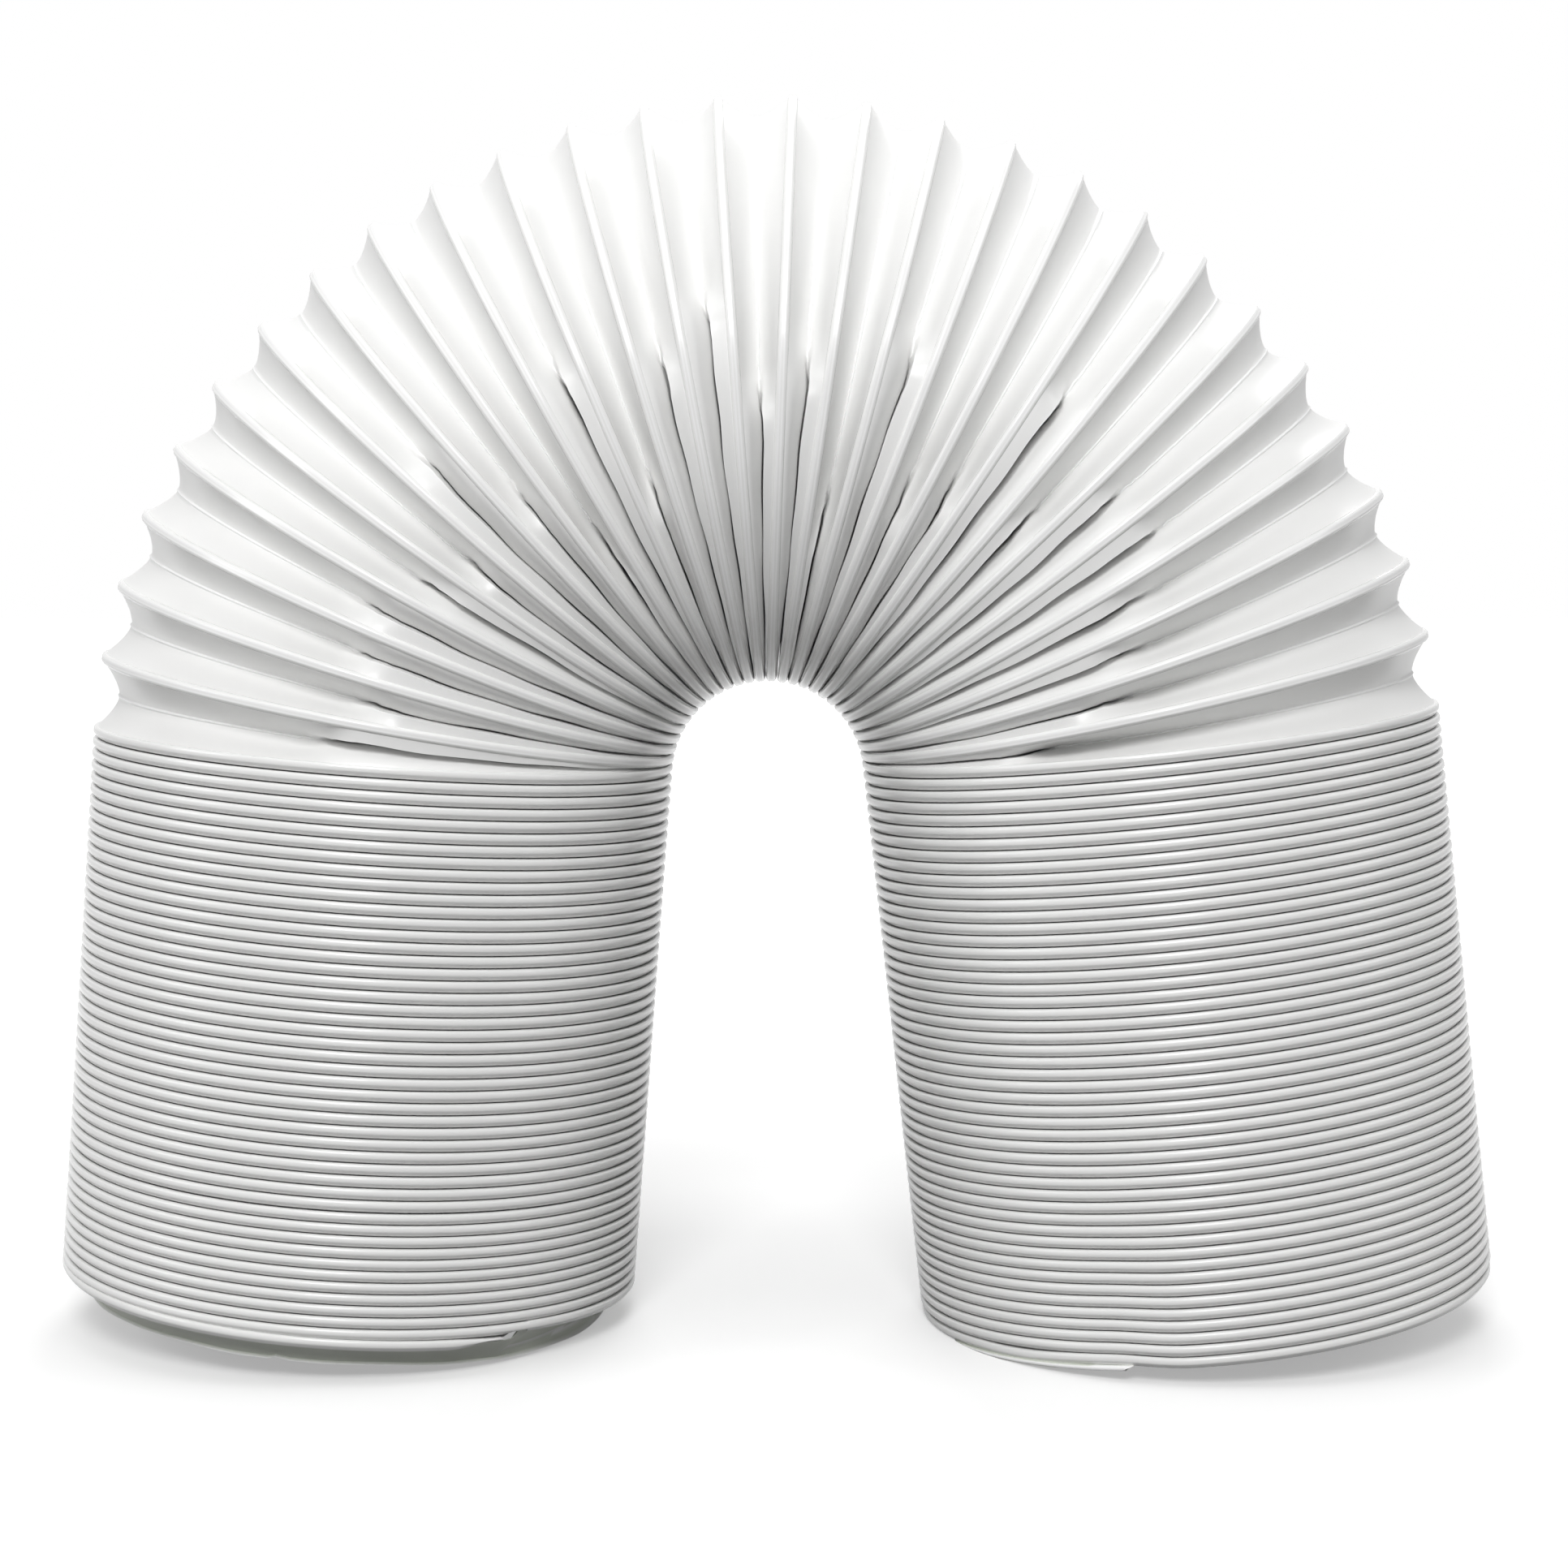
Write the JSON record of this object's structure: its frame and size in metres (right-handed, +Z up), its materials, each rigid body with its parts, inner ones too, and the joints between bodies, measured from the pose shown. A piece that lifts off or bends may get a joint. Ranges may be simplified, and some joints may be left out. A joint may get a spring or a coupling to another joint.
{
  "type": "flexible air duct",
  "caption": "Round flexible air duct in ribbed white plastic, stood as an arch on its open ends; its bellows folds bend and stretch.",
  "frame": {"origin": "on the floor, under the middle of the duct's bounding box", "axes": "+Z up, +X from the left foot to the right foot, +Y away from the viewer"},
  "size_m": [0.3752, 0.15, 0.3174],
  "materials": {
    "bead_plastic": "white polypropylene beads, satin to glossy",
    "web_plastic": "thin white polypropylene webs, satin",
    "cut_edge_plastic": "cut edge of the white strip, matt"
  },
  "bodies": {
    "left_bellows_1": {"left_bellows_1": "bead_plastic", "arch_web_01": "web_plastic", "left_leg_fold_1": "web_plastic"},
    "left_bellows_2": {"left_bellows_2": "bead_plastic", "left_leg_fold_2": "web_plastic"},
    "left_bellows_3": {"left_bellows_3": "bead_plastic", "left_leg_fold_3": "web_plastic"},
    "left_bellows_4": {"left_bellows_4": "bead_plastic", "left_end_bead": "bead_plastic", "left_end_lip": "cut_edge_plastic"},
    "arch_hoop_01": {"arch_hoop_01": "bead_plastic"},
    "arch_hoop_02": {"arch_hoop_02": "bead_plastic", "arch_web_03": "web_plastic"},
    "arch_hoop_03": {"arch_hoop_03": "bead_plastic"},
    "arch_hoop_04": {"arch_hoop_04": "bead_plastic", "arch_web_05": "web_plastic"},
    "arch_hoop_05": {"arch_hoop_05": "bead_plastic"},
    "arch_hoop_06": {"arch_hoop_06": "bead_plastic", "arch_web_07": "web_plastic"},
    "arch_hoop_07": {"arch_hoop_07": "bead_plastic"},
    "arch_hoop_08": {"arch_hoop_08": "bead_plastic", "arch_web_09": "web_plastic"},
    "arch_hoop_09": {"arch_hoop_09": "bead_plastic"},
    "arch_hoop_10": {"arch_hoop_10": "bead_plastic", "arch_web_11": "web_plastic"},
    "arch_hoop_11": {"arch_hoop_11": "bead_plastic"},
    "arch_hoop_12": {"arch_hoop_12": "bead_plastic", "arch_web_13": "web_plastic"},
    "arch_hoop_13": {"arch_hoop_13": "bead_plastic"},
    "arch_hoop_14": {"arch_hoop_14": "bead_plastic", "arch_web_15": "web_plastic"},
    "arch_hoop_15": {"arch_hoop_15": "bead_plastic"},
    "arch_hoop_16": {"arch_hoop_16": "bead_plastic", "arch_web_17": "web_plastic"},
    "arch_hoop_17": {"arch_hoop_17": "bead_plastic"},
    "arch_hoop_18": {"arch_hoop_18": "bead_plastic", "arch_web_19": "web_plastic"},
    "arch_hoop_19": {"arch_hoop_19": "bead_plastic"},
    "arch_hoop_20": {"arch_hoop_20": "bead_plastic", "arch_web_21": "web_plastic"},
    "arch_hoop_21": {"arch_hoop_21": "bead_plastic"},
    "arch_hoop_22": {"arch_hoop_22": "bead_plastic", "arch_web_23": "web_plastic"},
    "arch_hoop_23": {"arch_hoop_23": "bead_plastic"},
    "arch_hoop_24": {"arch_hoop_24": "bead_plastic", "arch_web_25": "web_plastic"},
    "arch_hoop_25": {"arch_hoop_25": "bead_plastic"},
    "arch_hoop_26": {"arch_hoop_26": "bead_plastic", "arch_web_27": "web_plastic"},
    "right_bellows_1": {"right_bellows_1": "bead_plastic", "right_leg_fold_1": "web_plastic"},
    "right_bellows_2": {"right_bellows_2": "bead_plastic", "right_leg_fold_2": "web_plastic"},
    "right_bellows_3": {"right_bellows_3": "bead_plastic", "right_leg_fold_3": "web_plastic"},
    "right_bellows_4": {"right_bellows_4": "bead_plastic", "right_end_bead": "bead_plastic", "right_strip_end": "cut_edge_plastic"}
  },
  "joints": [
    {"name": "arch_fold_01", "type": "hinge", "parent": "left_bellows_1", "child": "arch_hoop_01", "pos_m": [-0.0295, 0, 0.14613], "axis": [0, 1, 0], "range_deg": [-6.27, 0.75], "deforming": ["arch_web_01"]},
    {"name": "arch_fold_02", "type": "hinge", "parent": "arch_hoop_01", "child": "arch_hoop_02", "pos_m": [-0.02894, 0, 0.14907], "axis": [0, 1, 0], "range_deg": [-6.27, 0.75]},
    {"name": "arch_fold_03", "type": "hinge", "parent": "arch_hoop_02", "child": "arch_hoop_03", "pos_m": [-0.02807, 0, 0.15194], "axis": [0, 1, 0], "range_deg": [-6.27, 0.75], "deforming": ["arch_web_03"]},
    {"name": "arch_fold_04", "type": "hinge", "parent": "arch_hoop_03", "child": "arch_hoop_04", "pos_m": [-0.02689, 0, 0.1547], "axis": [0, 1, 0], "range_deg": [-6.27, 0.75]},
    {"name": "arch_fold_05", "type": "hinge", "parent": "arch_hoop_04", "child": "arch_hoop_05", "pos_m": [-0.02541, 0, 0.15731], "axis": [0, 1, 0], "range_deg": [-6.27, 0.75], "deforming": ["arch_web_05"]},
    {"name": "arch_fold_06", "type": "hinge", "parent": "arch_hoop_05", "child": "arch_hoop_06", "pos_m": [-0.02366, 0, 0.15975], "axis": [0, 1, 0], "range_deg": [-6.27, 0.75]},
    {"name": "arch_fold_07", "type": "hinge", "parent": "arch_hoop_06", "child": "arch_hoop_07", "pos_m": [-0.02165, 0, 0.16197], "axis": [0, 1, 0], "range_deg": [-6.27, 0.75], "deforming": ["arch_web_07"]},
    {"name": "arch_fold_08", "type": "hinge", "parent": "arch_hoop_07", "child": "arch_hoop_08", "pos_m": [-0.01941, 0, 0.16397], "axis": [0, 1, 0], "range_deg": [-6.27, 0.75]},
    {"name": "arch_fold_09", "type": "hinge", "parent": "arch_hoop_08", "child": "arch_hoop_09", "pos_m": [-0.01696, 0, 0.16571], "axis": [0, 1, 0], "range_deg": [-6.27, 0.75], "deforming": ["arch_web_09"]},
    {"name": "arch_fold_10", "type": "hinge", "parent": "arch_hoop_09", "child": "arch_hoop_10", "pos_m": [-0.01435, 0, 0.16717], "axis": [0, 1, 0], "range_deg": [-6.27, 0.75]},
    {"name": "arch_fold_11", "type": "hinge", "parent": "arch_hoop_10", "child": "arch_hoop_11", "pos_m": [-0.01158, 0, 0.16834], "axis": [0, 1, 0], "range_deg": [-6.27, 0.75], "deforming": ["arch_web_11"]},
    {"name": "arch_fold_12", "type": "hinge", "parent": "arch_hoop_11", "child": "arch_hoop_12", "pos_m": [-0.00871, 0, 0.1692], "axis": [0, 1, 0], "range_deg": [-6.27, 0.75]},
    {"name": "arch_fold_13", "type": "hinge", "parent": "arch_hoop_12", "child": "arch_hoop_13", "pos_m": [-0.00576, 0, 0.16974], "axis": [0, 1, 0], "range_deg": [-6.27, 0.75], "deforming": ["arch_web_13"]},
    {"name": "arch_fold_14", "type": "hinge", "parent": "arch_hoop_13", "child": "arch_hoop_14", "pos_m": [-0.00276, 0, 0.16996], "axis": [0, 1, 0], "range_deg": [-6.27, 0.75]},
    {"name": "arch_fold_15", "type": "hinge", "parent": "arch_hoop_14", "child": "arch_hoop_15", "pos_m": [0.00023, 0, 0.16984], "axis": [0, 1, 0], "range_deg": [-6.27, 0.75], "deforming": ["arch_web_15"]},
    {"name": "arch_fold_16", "type": "hinge", "parent": "arch_hoop_15", "child": "arch_hoop_16", "pos_m": [0.0032, 0, 0.1694], "axis": [0, 1, 0], "range_deg": [-6.27, 0.75]},
    {"name": "arch_fold_17", "type": "hinge", "parent": "arch_hoop_16", "child": "arch_hoop_17", "pos_m": [0.0061, 0, 0.16864], "axis": [0, 1, 0], "range_deg": [-6.27, 0.75], "deforming": ["arch_web_17"]},
    {"name": "arch_fold_18", "type": "hinge", "parent": "arch_hoop_17", "child": "arch_hoop_18", "pos_m": [0.0089, 0, 0.16757], "axis": [0, 1, 0], "range_deg": [-6.27, 0.75]},
    {"name": "arch_fold_19", "type": "hinge", "parent": "arch_hoop_18", "child": "arch_hoop_19", "pos_m": [0.01157, 0, 0.1662], "axis": [0, 1, 0], "range_deg": [-6.27, 0.75], "deforming": ["arch_web_19"]},
    {"name": "arch_fold_20", "type": "hinge", "parent": "arch_hoop_19", "child": "arch_hoop_20", "pos_m": [0.01407, 0, 0.16454], "axis": [0, 1, 0], "range_deg": [-6.27, 0.75]},
    {"name": "arch_fold_21", "type": "hinge", "parent": "arch_hoop_20", "child": "arch_hoop_21", "pos_m": [0.01638, 0, 0.16263], "axis": [0, 1, 0], "range_deg": [-6.27, 0.75], "deforming": ["arch_web_21"]},
    {"name": "arch_fold_22", "type": "hinge", "parent": "arch_hoop_21", "child": "arch_hoop_22", "pos_m": [0.01846, 0, 0.16047], "axis": [0, 1, 0], "range_deg": [-6.27, 0.75]},
    {"name": "arch_fold_23", "type": "hinge", "parent": "arch_hoop_22", "child": "arch_hoop_23", "pos_m": [0.0203, 0, 0.15809], "axis": [0, 1, 0], "range_deg": [-6.27, 0.75], "deforming": ["arch_web_23"]},
    {"name": "arch_fold_24", "type": "hinge", "parent": "arch_hoop_23", "child": "arch_hoop_24", "pos_m": [0.02186, 0, 0.15553], "axis": [0, 1, 0], "range_deg": [-6.27, 0.75]},
    {"name": "arch_fold_25", "type": "hinge", "parent": "arch_hoop_24", "child": "arch_hoop_25", "pos_m": [0.02314, 0, 0.15282], "axis": [0, 1, 0], "range_deg": [-6.27, 0.75], "deforming": ["arch_web_25"]},
    {"name": "arch_fold_26", "type": "hinge", "parent": "arch_hoop_25", "child": "arch_hoop_26", "pos_m": [0.02411, 0, 0.14998], "axis": [0, 1, 0], "range_deg": [-6.27, 0.75]},
    {"name": "arch_fold_27", "type": "hinge", "parent": "arch_hoop_26", "child": "right_bellows_1", "pos_m": [0.02477, 0, 0.14705], "axis": [0, 1, 0], "range_deg": [-6.27, 0.75], "deforming": ["arch_web_27"]},
    {"name": "left_leg_stretch_1", "type": "slide", "parent": "left_bellows_1", "child": "left_bellows_2", "axis": [-0.0771, 0, -0.997], "range_m": [0, 0.016], "deforming": ["left_leg_fold_1"]},
    {"name": "left_leg_stretch_2", "type": "slide", "parent": "left_bellows_2", "child": "left_bellows_3", "axis": [-0.0771, 0, -0.997], "range_m": [0, 0.016], "deforming": ["left_leg_fold_2"]},
    {"name": "left_leg_stretch_3", "type": "slide", "parent": "left_bellows_3", "child": "left_bellows_4", "axis": [-0.0771, 0, -0.997], "range_m": [0, 0.016], "deforming": ["left_leg_fold_3"]},
    {"name": "right_leg_stretch_1", "type": "slide", "parent": "right_bellows_1", "child": "right_bellows_2", "axis": [0.1111, 0, -0.9938], "range_m": [0, 0.016], "deforming": ["right_leg_fold_1"]},
    {"name": "right_leg_stretch_2", "type": "slide", "parent": "right_bellows_2", "child": "right_bellows_3", "axis": [0.1111, 0, -0.9938], "range_m": [0, 0.016], "deforming": ["right_leg_fold_2"]},
    {"name": "right_leg_stretch_3", "type": "slide", "parent": "right_bellows_3", "child": "right_bellows_4", "axis": [0.1111, 0, -0.9938], "range_m": [0, 0.016], "deforming": ["right_leg_fold_3"]}
  ],
  "couplings": [
    {"joint": "arch_fold_02", "follows": "arch_fold_01", "ratio": 1},
    {"joint": "arch_fold_03", "follows": "arch_fold_01", "ratio": 1},
    {"joint": "arch_fold_04", "follows": "arch_fold_01", "ratio": 1},
    {"joint": "arch_fold_05", "follows": "arch_fold_01", "ratio": 1},
    {"joint": "arch_fold_06", "follows": "arch_fold_01", "ratio": 1},
    {"joint": "arch_fold_07", "follows": "arch_fold_01", "ratio": 1},
    {"joint": "arch_fold_08", "follows": "arch_fold_01", "ratio": 1},
    {"joint": "arch_fold_09", "follows": "arch_fold_01", "ratio": 1},
    {"joint": "arch_fold_10", "follows": "arch_fold_01", "ratio": 1},
    {"joint": "arch_fold_11", "follows": "arch_fold_01", "ratio": 1},
    {"joint": "arch_fold_12", "follows": "arch_fold_01", "ratio": 1},
    {"joint": "arch_fold_13", "follows": "arch_fold_01", "ratio": 1},
    {"joint": "arch_fold_14", "follows": "arch_fold_01", "ratio": 1},
    {"joint": "arch_fold_16", "follows": "arch_fold_15", "ratio": 1},
    {"joint": "arch_fold_17", "follows": "arch_fold_15", "ratio": 1},
    {"joint": "arch_fold_18", "follows": "arch_fold_15", "ratio": 1},
    {"joint": "arch_fold_19", "follows": "arch_fold_15", "ratio": 1},
    {"joint": "arch_fold_20", "follows": "arch_fold_15", "ratio": 1},
    {"joint": "arch_fold_21", "follows": "arch_fold_15", "ratio": 1},
    {"joint": "arch_fold_22", "follows": "arch_fold_15", "ratio": 1},
    {"joint": "arch_fold_23", "follows": "arch_fold_15", "ratio": 1},
    {"joint": "arch_fold_24", "follows": "arch_fold_15", "ratio": 1},
    {"joint": "arch_fold_25", "follows": "arch_fold_15", "ratio": 1},
    {"joint": "arch_fold_26", "follows": "arch_fold_15", "ratio": 1},
    {"joint": "arch_fold_27", "follows": "arch_fold_15", "ratio": 1},
    {"joint": "left_leg_stretch_2", "follows": "left_leg_stretch_1", "ratio": 1},
    {"joint": "left_leg_stretch_3", "follows": "left_leg_stretch_1", "ratio": 1},
    {"joint": "right_leg_stretch_2", "follows": "right_leg_stretch_1", "ratio": 1},
    {"joint": "right_leg_stretch_3", "follows": "right_leg_stretch_1", "ratio": 1}
  ]
}
